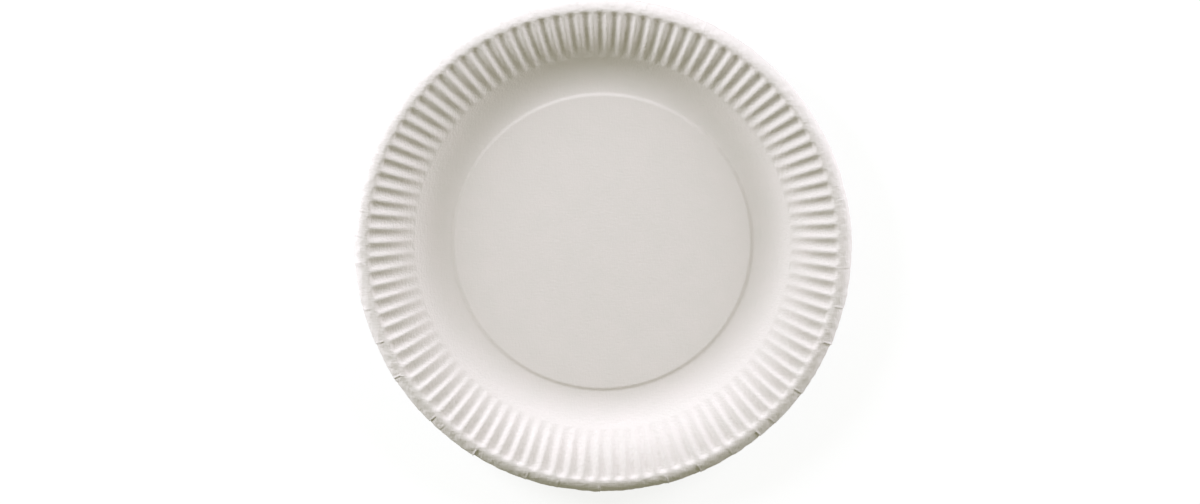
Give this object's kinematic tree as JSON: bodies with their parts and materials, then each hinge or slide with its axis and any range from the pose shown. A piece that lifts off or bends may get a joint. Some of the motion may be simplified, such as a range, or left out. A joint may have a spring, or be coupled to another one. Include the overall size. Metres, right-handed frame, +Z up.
{
  "type": "paper plate",
  "caption": "Round paper plate with a raised flat centre, a sloping wall, a fluted flange and a lip that turns down, for serving and eating food",
  "frame": {"origin": "centre of the underside of the foot ring, on the surface that the plate stands on", "axes": "+Z up along the plate's axis, +X from the centre to the middle of one groove of the flutes"},
  "size_m": [0.23, 0.23, 0.0173],
  "materials": {
    "card": "matte uncoated white card, pressed"
  },
  "bodies": {
    "root": {"plate": "card"}
  },
  "joints": []
}
